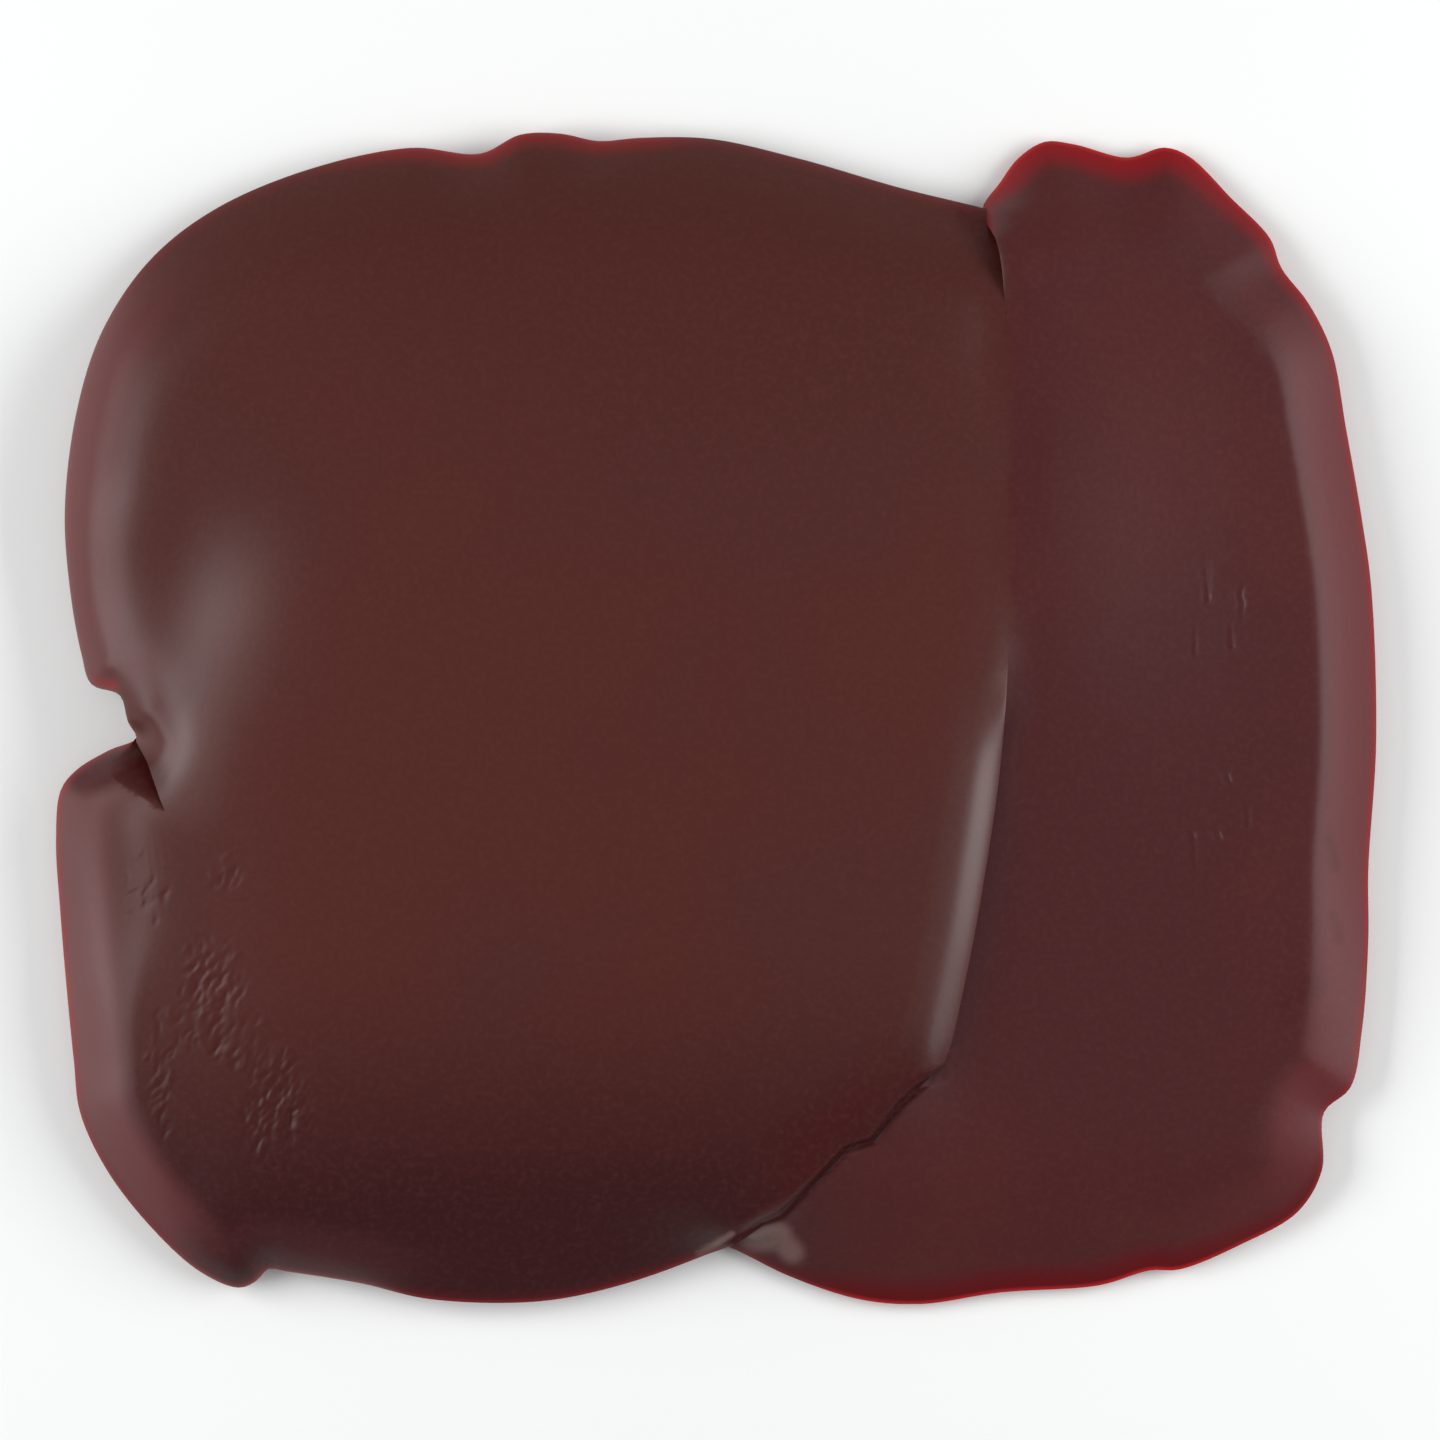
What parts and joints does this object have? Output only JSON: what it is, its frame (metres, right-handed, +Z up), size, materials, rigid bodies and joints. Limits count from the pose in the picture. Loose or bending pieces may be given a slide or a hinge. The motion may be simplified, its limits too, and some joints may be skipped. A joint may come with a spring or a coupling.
{
  "type": "raw pork liver",
  "caption": "Raw pork liver lying flat: a broad main lobe with a notch and a short fissure at its side, and a long right lobe that it partly overlaps.",
  "frame": {"origin": "on the surface that the liver rests on, under the middle of its plan", "axes": "seen from above, +X to the right across the lobes and along the longest extent, +Y away from the viewer, +Z up through the thickness"},
  "size_m": [0.2508, 0.2227, 0.028],
  "materials": {
    "liver_flesh": "wet and smooth, dark reddish brown, with thin translucent red rims"
  },
  "bodies": {
    "root": {"liver": "liver_flesh"}
  },
  "joints": []
}
